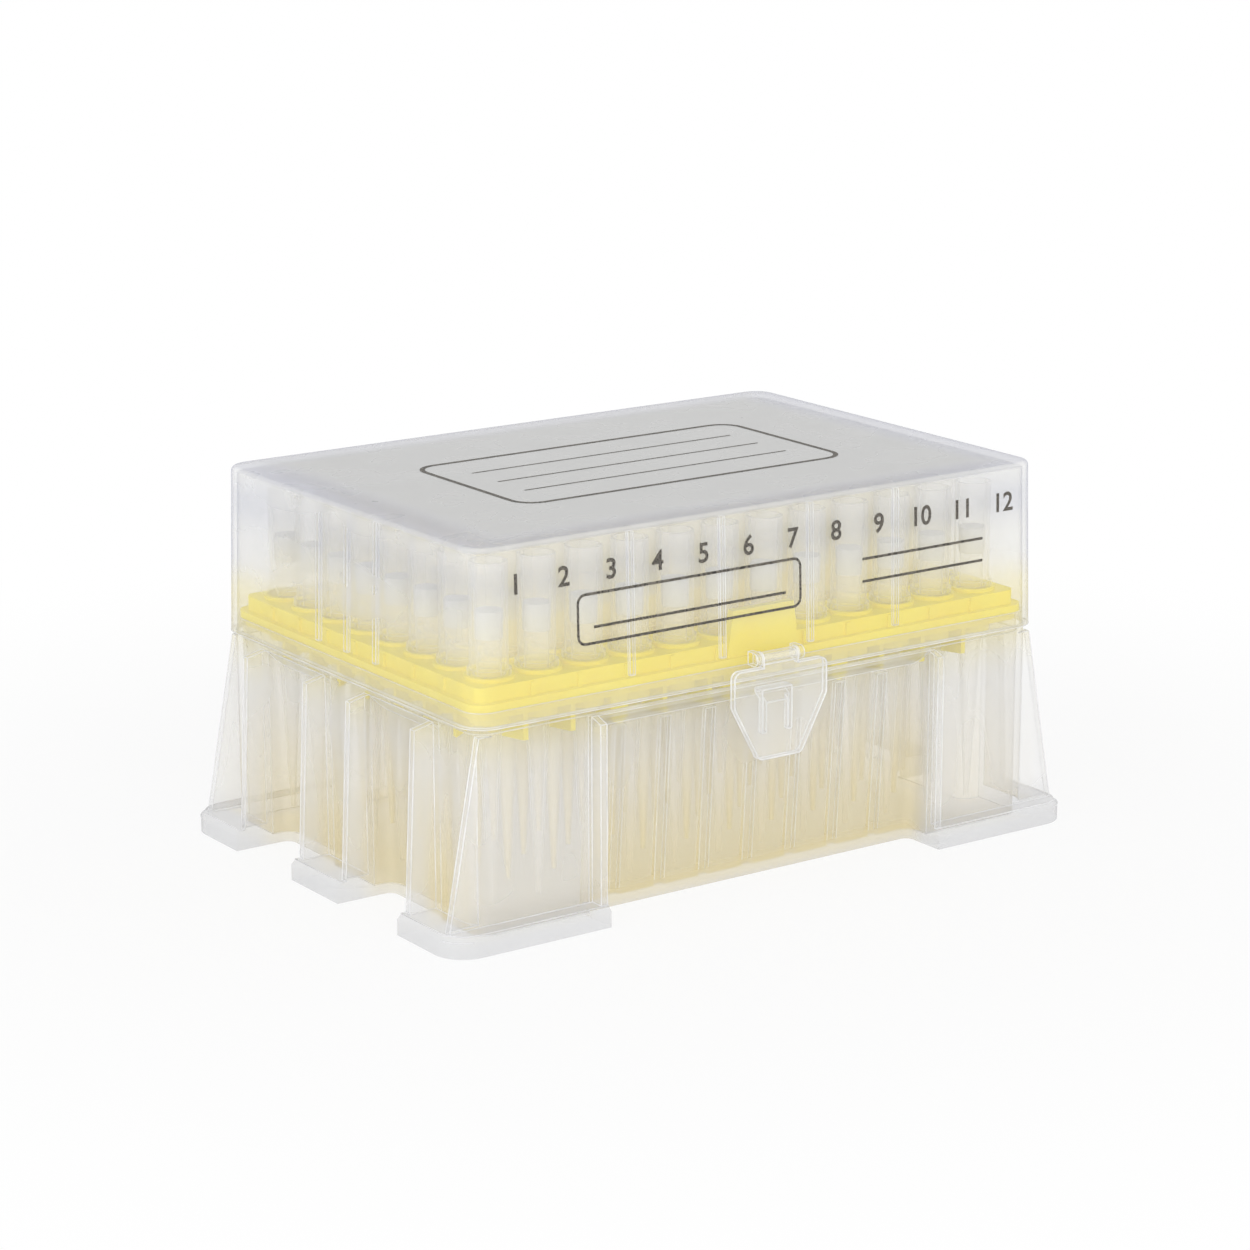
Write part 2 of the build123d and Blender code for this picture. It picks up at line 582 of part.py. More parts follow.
def turned(profile):
    """Solid of revolution about Z from (radius, height) points."""
    face = make_face(Polyline([(radius, 0, height) for radius, height in profile], close=True))
    return revolve(face, Axis.Z)


def make_tip():
    """Thin conical tip with a straight hub, a collar that sits on the deck and a filter seat."""
    mouth_bottom = TIP_TOP - MOUTH_DEPTH
    seat_inner = bore_radius(FILTER_SEAT) - FILTER_SEAT_STEP
    return turned([
        (TIP_ORIFICE_RADIUS, TIP_END), (TIP_END_RADIUS, TIP_END), (TIP_NECK_RADIUS, SHOULDER),
        (COLLAR_RADIUS, SHOULDER), (COLLAR_RADIUS, SHOULDER + COLLAR_HEIGHT),
        (HUB_RADIUS, SHOULDER + COLLAR_HEIGHT), (HUB_RADIUS, TIP_TOP), (MOUTH_RADIUS, TIP_TOP),
        (MOUTH_RADIUS, mouth_bottom), (BORE_RADIUS, mouth_bottom), (bore_radius(FILTER_SEAT), FILTER_SEAT),
        (seat_inner, FILTER_SEAT), (TIP_NECK_RADIUS - TIP_WALL, SHOULDER),
    ])


def make_filter():
    """Porous plug that sits on the step in the tip's bore."""
    top = FILTER_SEAT + FILTER_LENGTH
    return turned([
        (0, FILTER_SEAT), (bore_radius(FILTER_SEAT) - FILTER_GAP, FILTER_SEAT),
        (bore_radius(top) - FILTER_GAP, top), (0, top),
    ])


def column_of(shape, x):
    """One copy of the shape at each row of the column at X."""
    return Compound(children=[Pos(x, y, 0) * shape for y in ROW_Y])


def main():
    os.makedirs("parts", exist_ok=True)
    export_step(make_base(), "parts/base.step")
    export_step(make_deck(), "parts/tip_deck.step")
    export_step(make_lid(), "parts/lid.step")
    export_step(make_latch(), "parts/latch.step")
    tip = make_tip()
    plug = make_filter()
    for number, x in enumerate(COLUMN_X, start=1):
        export_step(column_of(tip, x), f"parts/tips_column_{number:02d}.step")
        export_step(column_of(plug, x), f"parts/filters_column_{number:02d}.step")


if __name__ == "__main__":
    main()
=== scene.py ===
"""Looks for a hinged rack of pipette tips: translucent mouldings, yellow deck and printed marks."""

from math import atan2, cos, pi, radians, sin

import bmesh
import bpy
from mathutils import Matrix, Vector


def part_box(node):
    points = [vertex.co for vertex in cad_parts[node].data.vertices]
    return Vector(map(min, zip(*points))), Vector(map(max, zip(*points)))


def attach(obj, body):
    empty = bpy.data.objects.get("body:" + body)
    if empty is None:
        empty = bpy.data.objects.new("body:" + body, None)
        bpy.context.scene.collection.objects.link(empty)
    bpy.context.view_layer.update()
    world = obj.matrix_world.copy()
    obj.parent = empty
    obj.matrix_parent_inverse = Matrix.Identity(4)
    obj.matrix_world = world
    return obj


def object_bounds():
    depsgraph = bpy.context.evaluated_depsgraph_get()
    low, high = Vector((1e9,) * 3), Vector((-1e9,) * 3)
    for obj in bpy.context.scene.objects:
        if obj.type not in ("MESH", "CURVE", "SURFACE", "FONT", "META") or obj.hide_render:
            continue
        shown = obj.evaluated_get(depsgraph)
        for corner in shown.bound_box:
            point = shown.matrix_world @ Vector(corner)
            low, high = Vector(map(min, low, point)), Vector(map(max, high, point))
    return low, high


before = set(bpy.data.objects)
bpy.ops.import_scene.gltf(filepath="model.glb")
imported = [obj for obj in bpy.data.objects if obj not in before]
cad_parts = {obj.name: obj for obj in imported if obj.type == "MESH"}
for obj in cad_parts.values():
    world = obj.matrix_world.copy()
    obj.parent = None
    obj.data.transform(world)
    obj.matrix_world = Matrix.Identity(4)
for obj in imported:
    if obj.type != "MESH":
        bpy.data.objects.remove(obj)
cad_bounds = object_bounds()

MM = 0.001
COLUMNS = 12
PLASTIC_IOR = 1.49
SHARP_TURN = radians(40)

# Tip grid and levels, from the frame and the length of a tip's hub
first_low, first_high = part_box("tips_column_01")
last_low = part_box(f"tips_column_{COLUMNS:02d}")[0]
lid_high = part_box("lid")[1]
base_low, base_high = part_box("base")
PITCH = (last_low[0] - first_low[0]) / (COLUMNS - 1)
HUB_LENGTH = 18.3 * MM
SHOULDER = first_high[2] - HUB_LENGTH
HUB_MM = (lid_high[2] - SHOULDER) / MM
LID_TOP_MM = lid_high[2] / MM
BODY_OF = {"base": "box", "lid": "lid", "latch": "latch"}

# Places of a Mix node's share, first and second sockets, for colours and for values
COLOUR_SOCKETS = (0, 6, 7)
VALUE_SOCKETS = (0, 2, 3)


# Node trees

def add_node(tree, kind, x, y, **values):
    """A node of a kind at a place in the tree, with its named sockets or properties set."""
    node = tree.nodes.new(kind)
    node.location = (x, y)
    for name, value in values.items():
        if hasattr(node, name):
            setattr(node, name, value)
        else:
            node.inputs[name.replace("_", " ")].default_value = value
    return node


def feed(tree, sockets, values):
    """Sets each socket to its value, or links it where the value is another socket."""
    for socket, value in zip(sockets, values):
        if isinstance(value, bpy.types.NodeSocket):
            tree.links.new(value, socket)
        else:
            socket.default_value = value


def math_node(tree, operation, first, second, x, y, clamp=False):
    """A Math node whose two inputs are numbers or sockets."""
    node = add_node(tree, "ShaderNodeMath", x, y, operation=operation, use_clamp=clamp)
    feed(tree, node.inputs, (first, second))
    return node.outputs[0]


def mix_colours(tree, share, first, second, x, y):
    """A colour between two colours, each a socket or four numbers."""
    node = add_node(tree, "ShaderNodeMix", x, y, data_type="RGBA")
    feed(tree, [node.inputs[place] for place in COLOUR_SOCKETS], (share, first, second))
    return node.outputs[2]


def mix_values(tree, share, first, second, x, y):
    """A value between two values, each a socket or a number."""
    node = add_node(tree, "ShaderNodeMix", x, y)
    feed(tree, [node.inputs[place] for place in VALUE_SOCKETS], (share, first, second))
    return node.outputs[0]


def ramp_node(tree, value, low, high, start, end, x, y):
    """A value carried smoothly from start to end while another goes from low to high."""
    node = add_node(tree, "ShaderNodeMapRange", x, y, interpolation_type="SMOOTHSTEP")
    sockets = [node.inputs[name] for name in ("Value", "From Min", "From Max", "To Min", "To Max")]
    feed(tree, sockets, (value, low, high, start, end))
    return node.outputs["Result"]


def new_group(name, inputs, outputs):
    """A shader node group with named sockets, and its input and output nodes."""
    tree = bpy.data.node_groups.new(name, "ShaderNodeTree")
    for socket, kind, value in inputs:
        item = tree.interface.new_socket(socket, in_out="INPUT", socket_type=kind)
        item.default_value = value
    for socket, kind in outputs:
        tree.interface.new_socket(socket, in_out="OUTPUT", socket_type=kind)
    start = add_node(tree, "NodeGroupInput", -1200, 0)
    end = add_node(tree, "NodeGroupOutput", 600, 0)
    return tree, start.outputs, end.inputs


def melt_cloud_group():
    """Cloudy streaks that a polymer melt leaves: a slightly varied colour, and a haze mask."""
    tree, given, out = new_group(
        "Melt cloud",
        [("Colour", "NodeSocketColor", (0.8, 0.8, 0.8, 1)),
         ("Cloud Colour", "NodeSocketColor", (0.7, 0.7, 0.7, 1)),
         ("Size mm", "NodeSocketFloat", 12.0), ("Stretch", "NodeSocketFloat", 3.0),
         ("Amount", "NodeSocketFloat", 0.3)],
        [("Colour", "NodeSocketColor"), ("Haze", "NodeSocketFloat")],
    )
    place = add_node(tree, "ShaderNodeTexCoord", -1200, -300)
    stretch = add_node(tree, "ShaderNodeCombineXYZ", -900, -450, X=1.0, Y=1.0)
    shrink = math_node(tree, "DIVIDE", 1.0, given["Stretch"], -1050, -550)
    tree.links.new(shrink, stretch.inputs["Z"])
    scaled = add_node(tree, "ShaderNodeVectorMath", -700, -350, operation="MULTIPLY")
    tree.links.new(place.outputs["Object"], scaled.inputs[0])
    tree.links.new(stretch.outputs[0], scaled.inputs[1])
    noise = add_node(tree, "ShaderNodeTexNoise", -450, -300, Detail=1.0, Roughness=0.5)
    per_metre = math_node(tree, "DIVIDE", 1.0 / MM, given["Size mm"], -700, -150)
    tree.links.new(per_metre, noise.inputs["Scale"])
    tree.links.new(scaled.outputs[0], noise.inputs["Vector"])
    spread = ramp_node(tree, noise.outputs["Fac"], 0.3, 0.7, 0.0, 1.0, -200, -250)
    haze = math_node(tree, "MULTIPLY", spread, given["Amount"], 50, -250)
    tree.links.new(mix_colours(tree, haze, given["Colour"], given["Cloud Colour"], 300, 0), out["Colour"])
    tree.links.new(haze, out["Haze"])
    return tree


def mould_skin_group():
    """Fine texture of a mould's face: a height for Bump, and a roughness that varies a little."""
    tree, given, out = new_group(
        "Mould skin",
        [("Wave mm", "NodeSocketFloat", 14.0), ("Roughness", "NodeSocketFloat", 0.3),
         ("Variation", "NodeSocketFloat", 0.1)],
        [("Height", "NodeSocketFloat"), ("Roughness", "NodeSocketFloat")],
    )
    place = add_node(tree, "ShaderNodeTexCoord", -1200, -300)
    wave = add_node(tree, "ShaderNodeTexNoise", -600, -200, Detail=2.0)
    per_metre = math_node(tree, "DIVIDE", 1.0 / MM, given["Wave mm"], -850, -200)
    tree.links.new(per_metre, wave.inputs["Scale"])
    tree.links.new(place.outputs["Object"], wave.inputs["Vector"])
    tree.links.new(wave.outputs["Fac"], out["Height"])
    swing = math_node(tree, "SUBTRACT", wave.outputs["Fac"], 0.5, -350, -300)
    swing = math_node(tree, "MULTIPLY", swing, given["Variation"], -150, -300)
    rough = math_node(tree, "ADD", swing, given["Roughness"], 50, -300, clamp=True)
    tree.links.new(rough, out["Roughness"])
    return tree


def height_glow_group():
    """Mask of height: 1 at a level, fading to 0 over one distance above it and another below it."""
    tree, given, out = new_group(
        "Height band",
        [("Level mm", "NodeSocketFloat", 40.0), ("Above mm", "NodeSocketFloat", 8.0),
         ("Below mm", "NodeSocketFloat", 8.0), ("Amount", "NodeSocketFloat", 0.5)],
        [("Mask", "NodeSocketFloat")],
    )
    place = add_node(tree, "ShaderNodeTexCoord", -1200, -300)
    split = add_node(tree, "ShaderNodeSeparateXYZ", -1000, -300)
    tree.links.new(place.outputs["Object"], split.inputs[0])
    level = math_node(tree, "MULTIPLY", split.outputs["Z"], 1.0 / MM, -800, -300)
    above = math_node(tree, "SUBTRACT", level, given["Level mm"], -600, -200)
    below = math_node(tree, "MULTIPLY", above, -1.0, -600, -400)
    high = ramp_node(tree, above, 0.0, given["Above mm"], 1.0, 0.0, -400, -200)
    low = ramp_node(tree, below, 0.0, given["Below mm"], 1.0, 0.0, -400, -500)
    both = math_node(tree, "MULTIPLY", high, low, -100, -300)
    tree.links.new(math_node(tree, "MULTIPLY", both, given["Amount"], 100, -300), out["Mask"])
    return tree


def depth_inside_group():
    """Mask of how far in from the four sides a point is: 0 at the outer row, and 1 farther in."""
    tree, given, out = new_group(
        "Depth inside",
        [("Half length mm", "NodeSocketFloat", 55.0), ("Half width mm", "NodeSocketFloat", 37.0),
         ("Start mm", "NodeSocketFloat", 6.0), ("Reach mm", "NodeSocketFloat", 10.0)],
        [("Mask", "NodeSocketFloat")],
    )
    place = add_node(tree, "ShaderNodeTexCoord", -1200, -300)
    split = add_node(tree, "ShaderNodeSeparateXYZ", -1000, -300)
    tree.links.new(place.outputs["Object"], split.inputs[0])
    depths = []
    for axis, half, y in (("X", "Half length mm", -200), ("Y", "Half width mm", -400)):
        across = math_node(tree, "ABSOLUTE", split.outputs[axis], 0.0, -800, y)
        across = math_node(tree, "MULTIPLY", across, 1.0 / MM, -650, y)
        depths.append(math_node(tree, "SUBTRACT", given[half], across, -500, y))
    depth = math_node(tree, "MINIMUM", *depths, -300, -300)
    end = math_node(tree, "ADD", given["Start mm"], given["Reach mm"], -300, -500)
    tree.links.new(ramp_node(tree, depth, given["Start mm"], end, 0.0, 1.0, -100, -300), out["Mask"])
    return tree


MELT_CLOUD = melt_cloud_group()
MOULD_SKIN = mould_skin_group()
HEIGHT_BAND = height_glow_group()
DEPTH_INSIDE = depth_inside_group()


def use_group(tree, group, x, y, **values):
    """A group node with values on its named inputs."""
    node = tree.nodes.new("ShaderNodeGroup")
    node.node_tree = group
    node.location = (x, y)
    for name, value in values.items():
        node.inputs[name.replace("_", " ")].default_value = value
    return node


def new_material(name):
    """An empty node material with its Principled BSDF and output."""
    material = bpy.data.materials.new(name)
    material.use_nodes = True
    tree = material.node_tree
    shader = tree.nodes["Principled BSDF"]
    shader.location = (200, 0)
    output = tree.nodes["Material Output"]
    output.location = (1000, 0)
    return material, tree, shader, output


def add_skin(tree, shader, wave, roughness, variation, depth=None):
    """Gives a Principled BSDF the mould skin's roughness, and its bump where a depth is given."""
    skin = use_group(tree, MOULD_SKIN, -500, -300, Wave_mm=wave, Roughness=roughness, Variation=variation)
    tree.links.new(skin.outputs["Roughness"], shader.inputs["Roughness"])
    if depth:
        bump = add_node(tree, "ShaderNodeBump", -200, -400, Distance=depth, Strength=1.0)
        tree.links.new(skin.outputs["Height"], bump.inputs["Height"])
        tree.links.new(bump.outputs[0], shader.inputs["Normal"])


def let_lamps_through(tree, shader, output, tint):
    """Lamps reach what is inside: their rays meet clear plastic with a slight tint."""
    clear = add_node(tree, "ShaderNodeBsdfTransparent", 500, -200, Color=tint)
    path = add_node(tree, "ShaderNodeLightPath", 500, 400)
    mix = add_node(tree, "ShaderNodeMixShader", 800, 0)
    tree.links.new(path.outputs["Is Shadow Ray"], mix.inputs[0])
    tree.links.new(shader.outputs[0], mix.inputs[1])
    tree.links.new(clear.outputs[0], mix.inputs[2])
    tree.links.new(mix.outputs[0], output.inputs["Surface"])


def cloudy_plastic(name, colour, cloud, painted_rim, alphas, power, roughness, grain, painted_tints, frost=None):
    """Translucent plastic: clear where seen square on, and milky where seen along its face, with the rim
    colour painted there (painted shade where darker than the body, painted sheen where lighter), and bands
    of painted light and painted shade.
    """
    material, tree, shader, output = new_material(name)
    size, stretch = grain
    melt = use_group(
        tree, MELT_CLOUD, -900, 200, Colour=colour, Cloud_Colour=cloud, Size_mm=size, Stretch=stretch,
        Amount=0.6,
    )
    slope = add_node(tree, "ShaderNodeLayerWeight", -900, 0, Blend=0.5)
    # Painted rim: shade, or sheen for a lighter rim colour, where the face is seen at a slant
    painted_rim_share = ramp_node(tree, slope.outputs["Facing"], 0.30, 1.0, 0.0, 1.0, -600, 0)
    body = mix_colours(tree, painted_rim_share, melt.outputs["Colour"], painted_rim, -600, 200)
    # Bands of painted light and painted shade, each over a range of height, and farther in where a depth is
    # given
    for step, (tint, values, depth) in enumerate(painted_tints):
        y = 500 + 250 * step
        share = use_group(tree, HEIGHT_BAND, -900, y, **values).outputs["Mask"]
        if depth:
            inside = use_group(tree, DEPTH_INSIDE, -1200, y, **depth)
            share = math_node(tree, "MULTIPLY", share, inside.outputs["Mask"], -750, y)
        body = mix_colours(tree, share, body, tint, -400 + 200 * step, 300)
    tree.links.new(body, shader.inputs["Base Color"])
    add_skin(tree, shader, wave=9.0, roughness=roughness, variation=0.12)
    shader.inputs["IOR"].default_value = PLASTIC_IOR
    face, edge = alphas
    reach = math_node(tree, "POWER", slope.outputs["Facing"], power, -600, -200)
    reach = ramp_node(tree, reach, 0.0, 1.0, face, edge, -400, -150)
    lift = math_node(tree, "MULTIPLY", melt.outputs["Haze"], 0.05, -400, -50)
    milk = math_node(tree, "ADD", reach, lift, -200, -100, clamp=True)
    if frost:
        values, depth = frost
        level = use_group(tree, HEIGHT_BAND, -900, -500, **values)
        inside = use_group(tree, DEPTH_INSIDE, -900, -750, **depth)
        share = ramp_node(tree, inside.outputs["Mask"], 0.0, 1.0, 0.6, 1.0, -700, -750)
        share = math_node(tree, "MULTIPLY", level.outputs["Mask"], share, -500, -600)
        milk = math_node(tree, "MAXIMUM", milk, share, 0, -100)
    tree.links.new(milk, shader.inputs["Alpha"])
    let_lamps_through(tree, shader, output, (0.95, 0.945, 0.93, 1))
    return material


def tip_plastic(name):
    """Clear cones below and milky hubs above: pale in the outer rows, and denser farther in, with painted
    warm light there and painted deck and floor light by height.
    """
    material, tree, shader, output = new_material(name)
    melt = use_group(
        tree, MELT_CLOUD, -1200, 200, Colour=(0.95, 0.945, 0.93, 1), Cloud_Colour=(0.90, 0.89, 0.86, 1),
        Size_mm=6.0, Stretch=3.0, Amount=0.4,
    )
    inside = use_group(tree, DEPTH_INSIDE, -1200, -100)
    # Painted light: the rows farther in turn warm cream
    body = mix_colours(tree, inside.outputs["Mask"], melt.outputs["Colour"], WARM_LIGHT_CREAM, -900, 200)
    # Painted light: deck yellow near the deck and warm tan near the floor, stronger in the rows farther in
    painted_tints = ((DECK_LIGHT_YELLOW, 0.4, dict(DECK_LIGHT_BAND, Above_mm=19.0)), (WARM_LIGHT_TAN, 0.4, dict(NEAR_FLOOR, Amount=0.4)))
    for step, (tint, outer, values) in enumerate(painted_tints):
        y = 500 + 250 * step
        glow = use_group(tree, HEIGHT_BAND, -900, y, **values)
        share = ramp_node(tree, inside.outputs["Mask"], 0.0, 1.0, outer, 1.0, -700, y)
        share = math_node(tree, "MULTIPLY", share, glow.outputs["Mask"], -500, y)
        body = mix_colours(tree, share, body, tint, -300 + 150 * step, 300)
    tree.links.new(body, shader.inputs["Base Color"])
    shine = mix_values(tree, inside.outputs["Mask"], 0.5, 0.05, -300, 0)
    tree.links.new(shine, shader.inputs["Specular IOR Level"])
    shader.inputs["Roughness"].default_value = 0.3
    shader.inputs["IOR"].default_value = PLASTIC_IOR
    slope = add_node(tree, "ShaderNodeLayerWeight", -1200, -400, Blend=0.5)
    cone = ramp_node(tree, slope.outputs["Facing"], 0.3, 1.0, 0.12, 0.75, -900, -300)
    cone = mix_values(tree, inside.outputs["Mask"], cone, 0.36, -700, -300)
    hub = ramp_node(tree, slope.outputs["Facing"], 0.2, 1.0, 0.24, 0.34, -900, -550)
    hub = mix_values(tree, inside.outputs["Mask"], hub, 0.38, -700, -550)
    hubs = use_group(
        tree, HEIGHT_BAND, -1200, -700, Level_mm=LID_TOP_MM, Above_mm=1.0, Below_mm=HUB_MM, Amount=1.0
    )
    above = ramp_node(tree, hubs.outputs["Mask"], 0.0, 0.02, 0.0, 1.0, -900, -800)
    tree.links.new(mix_values(tree, above, cone, hub, -500, -400), shader.inputs["Alpha"])
    tree.links.new(shader.outputs[0], output.inputs["Surface"])
    return material


def edge_plastic(name, colour, cloud, alpha):
    """Painted highlights for the rounded edges of a clear moulding: a bright colour that stands in for the
    light they catch.
    """
    material, tree, shader, output = new_material(name)
    melt = use_group(
        tree, MELT_CLOUD, -500, 200, Colour=colour, Cloud_Colour=cloud, Size_mm=7.0, Stretch=1.0, Amount=0.8
    )
    tree.links.new(melt.outputs["Colour"], shader.inputs["Base Color"])
    thin = math_node(tree, "MULTIPLY", melt.outputs["Haze"], -0.25, -250, -100)
    tree.links.new(math_node(tree, "ADD", thin, alpha, -50, -100, clamp=True), shader.inputs["Alpha"])
    shader.inputs["Roughness"].default_value = 0.2
    shader.inputs["IOR"].default_value = PLASTIC_IOR
    tree.links.new(shader.outputs[0], output.inputs["Surface"])
    return material


def solid_plastic(name, colour, cloud, roughness):
    """Pigmented plastic with a satin skin."""
    material, tree, shader, output = new_material(name)
    melt = use_group(
        tree, MELT_CLOUD, -500, 200, Colour=colour, Cloud_Colour=cloud, Size_mm=6.0, Stretch=1.0, Amount=0.5
    )
    tree.links.new(melt.outputs["Colour"], shader.inputs["Base Color"])
    add_skin(tree, shader, wave=7.0, roughness=roughness, variation=0.1, depth=0.03 * MM)
    shader.inputs["IOR"].default_value = PLASTIC_IOR
    let_lamps_through(tree, shader, output, (0.62, 0.52, 0.16, 1))
    return material


def porous_plug(name, deck_light_tint, glow):
    """Sintered white plug: matt, with fine grains, and painted yellow light from the deck below it."""
    material, tree, shader, output = new_material(name)
    melt = use_group(
        tree, MELT_CLOUD, -500, 200, Colour=(0.71, 0.72, 0.76, 1), Cloud_Colour=(0.65, 0.66, 0.71, 1),
        Size_mm=0.5, Stretch=1.0, Amount=0.7,
    )
    # Painted light: the deck's yellow, in a band of height
    mask = use_group(tree, HEIGHT_BAND, -500, 500, **glow)
    body = mix_colours(tree, mask.outputs["Mask"], melt.outputs["Colour"], deck_light_tint, -200, 200)
    tree.links.new(body, shader.inputs["Base Color"])
    add_skin(tree, shader, wave=0.6, roughness=0.85, variation=0.1, depth=0.06 * MM)
    tree.links.new(shader.outputs[0], output.inputs["Surface"])
    return material


def ink(name, colour, wear):
    """Dry printing ink with small gaps where it didn't take."""
    material, tree, shader = new_material(name)[:3]
    melt = use_group(
        tree, MELT_CLOUD, -500, 200, Colour=colour, Cloud_Colour=(0.30, 0.27, 0.22, 1),
        Size_mm=0.3, Stretch=1.0, Amount=wear,
    )
    tree.links.new(melt.outputs["Colour"], shader.inputs["Base Color"])
    add_skin(tree, shader, wave=0.8, roughness=0.6, variation=0.2)
    return material


# Tints of painted light and shade, and where they lie: by height, and by depth behind the outer walls
# Painted light: the yellow deck's light thrown on the clear parts near it
DECK_LIGHT_YELLOW = (0.99, 0.84, 0.14, 1)
# Painted light: warm light near the floor, as from light passed through the yellow deck
WARM_LIGHT_TAN = (0.90, 0.765, 0.38, 1)
# Painted light: warm cream of the tip rows farther in, for the deck's warm light among them
WARM_LIGHT_CREAM = (0.96, 0.925, 0.80, 1)
# Painted shade: lavender-grey along the lid's upper walls
BROW_SHADE_GREY = (0.60, 0.62, 0.71, 1)
# Painted shade: grey over the middle of the lid's roof, for the dim inside seen through it
ROOF_SHADE_GREY = (0.58, 0.58, 0.57, 1)
# Painted shade: grey on the base near the floor
FOOT_SHADE_GREY = (0.57, 0.57, 0.59, 1)
DECK_MM = SHOULDER / MM
# Band round the deck's level, where the painted yellow deck light lies
DECK_LIGHT_BAND = dict(Level_mm=DECK_MM, Above_mm=13.0, Below_mm=16.0, Amount=0.9)
# Band near the floor, where the painted warm light lies
NEAR_FLOOR = dict(Level_mm=2.0, Above_mm=34.0, Below_mm=4.0, Amount=0.9)
ROOF = dict(Level_mm=LID_TOP_MM, Above_mm=1.0, Below_mm=1.6)
# Band along the lid's upper walls, where the painted brow shade lies
LID_BROW = dict(Level_mm=LID_TOP_MM - 6.0, Above_mm=5.0, Below_mm=6.0, Amount=0.7)
FOOT = dict(Level_mm=0.0, Above_mm=9.0, Below_mm=1.0)
EVERYWHERE = None
LID_DEPTH = dict(
    Half_length_mm=lid_high[0] / MM, Half_width_mm=lid_high[1] / MM, Start_mm=2.0, Reach_mm=10.0
)
FOOT_DEPTH = dict(
    Half_length_mm=base_high[0] / MM, Half_width_mm=-base_low[1] / MM, Start_mm=3.5, Reach_mm=5.0
)
# Lid: painted lavender-grey shade at its rim and brow, painted yellow deck light above the deck, and
# painted grey shade over its roof's middle
SHELL = cloudy_plastic(
    "Cloudy shell", colour=(0.91, 0.91, 0.905, 1), cloud=(0.86, 0.86, 0.86, 1), painted_rim=(0.50, 0.51, 0.63, 1),
    alphas=(0.22, 0.88), power=2.5, roughness=0.28, grain=(14.0, 2.0),
    painted_tints=[
        (BROW_SHADE_GREY, LID_BROW, EVERYWHERE),
        (DECK_LIGHT_YELLOW, dict(DECK_LIGHT_BAND, Amount=0.45, Above_mm=7.0), EVERYWHERE),
        (ROOF_SHADE_GREY, dict(ROOF, Amount=1.0), LID_DEPTH),
    ],
    frost=(dict(ROOF, Amount=0.97), LID_DEPTH),
)
# Base: painted lavender-grey shade at its rim, painted yellow deck light near the deck, painted grey shade
# at the foot, and painted warm light near the floor farther in
BASE_SHELL = cloudy_plastic(
    "Cloudy base", colour=(0.90, 0.90, 0.90, 1), cloud=(0.85, 0.845, 0.84, 1), painted_rim=(0.78, 0.785, 0.83, 1),
    alphas=(0.26, 0.84), power=3.5, roughness=0.30, grain=(10.0, 5.0),
    painted_tints=[
        (DECK_LIGHT_YELLOW, dict(DECK_LIGHT_BAND, Amount=0.75), EVERYWHERE),
        (FOOT_SHADE_GREY, dict(FOOT, Amount=0.9), EVERYWHERE),
        (WARM_LIGHT_TAN, NEAR_FLOOR, FOOT_DEPTH),
    ],
    frost=(dict(FOOT, Amount=0.5), LID_DEPTH),
)
# Latch: a slightly lighter rim, painted as sheen
LATCH = cloudy_plastic(
    "Clear latch", colour=(0.93, 0.93, 0.92, 1), cloud=(0.89, 0.89, 0.88, 1), painted_rim=(0.95, 0.95, 0.97, 1),
    alphas=(0.18, 0.90), power=2.2, roughness=0.2, grain=(6.0, 2.0),
    painted_tints=[],
)
TIP = tip_plastic("Tip plastic")
DECK = solid_plastic(
    "Yellow deck", colour=(1.0, 0.87, 0.02, 1), cloud=(0.99, 0.80, 0.01, 1), roughness=0.32
)
# Filters with painted yellow deck light
PLUG = porous_plug("Porous filter", DECK_LIGHT_YELLOW, dict(DECK_LIGHT_BAND, Amount=0.5))
# Painted highlight colour for the lines along sharp edges
EDGE_HIGHLIGHT = edge_plastic("Painted edge highlights", colour=(0.96, 0.96, 0.97, 1), cloud=(0.84, 0.84, 0.86, 1), alpha=0.6)
PRINT = ink("Dark ink", colour=(0.015, 0.013, 0.012, 1), wear=0.6)


def dress(node, material, shades=True):
    """Puts one material on a CAD node, and says whether the node keeps lamp light off what is behind it."""
    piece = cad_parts[node]
    piece.data.materials.clear()
    piece.data.materials.append(material)
    piece.visible_shadow = shades


dress("lid", SHELL)
dress("latch", LATCH)
dress("base", BASE_SHELL)
dress("tip_deck", DECK)
for number in range(1, COLUMNS + 1):
    dress(f"tips_column_{number:02d}", TIP, shades=False)
    dress(f"filters_column_{number:02d}", PLUG, shades=False)


# Painted highlights: bright lines along the mouldings' sharp corners

def sharp_edges(mesh, low, high, margin):
    """The edges of a mesh between steeply turned faces, where they are clear of the object's box."""
    chosen = []
    for edge in mesh.edges:
        if len(edge.link_faces) != 2 or edge.calc_face_angle() < SHARP_TURN:
            continue
        points = [vertex.co for vertex in edge.verts]
        if all(low[i] + margin < point[i] < high[i] - margin for point in points for i in range(3)):
            chosen.append(edge)
    return chosen


def edge_chains(edges):
    """Edges joined end to end into lists of points."""
    joined = {}
    for edge in edges:
        for vertex in edge.verts:
            joined.setdefault(vertex, []).append(edge)
    starts = [vertex for vertex in joined if len(joined[vertex]) != 2] + list(joined)
    used, chains = set(), []
    for start in starts:
        for first in joined[start]:
            if first in used:
                continue
            vertex, edge, chain = start, first, [start.co.copy()]
            while edge:
                used.add(edge)
                vertex = edge.other_vert(vertex)
                chain.append(vertex.co.copy())
                onward = [other for other in joined[vertex] if other not in used]
                edge = onward[0] if len(joined[vertex]) == 2 and onward else None
            chains.append(chain)
    return chains


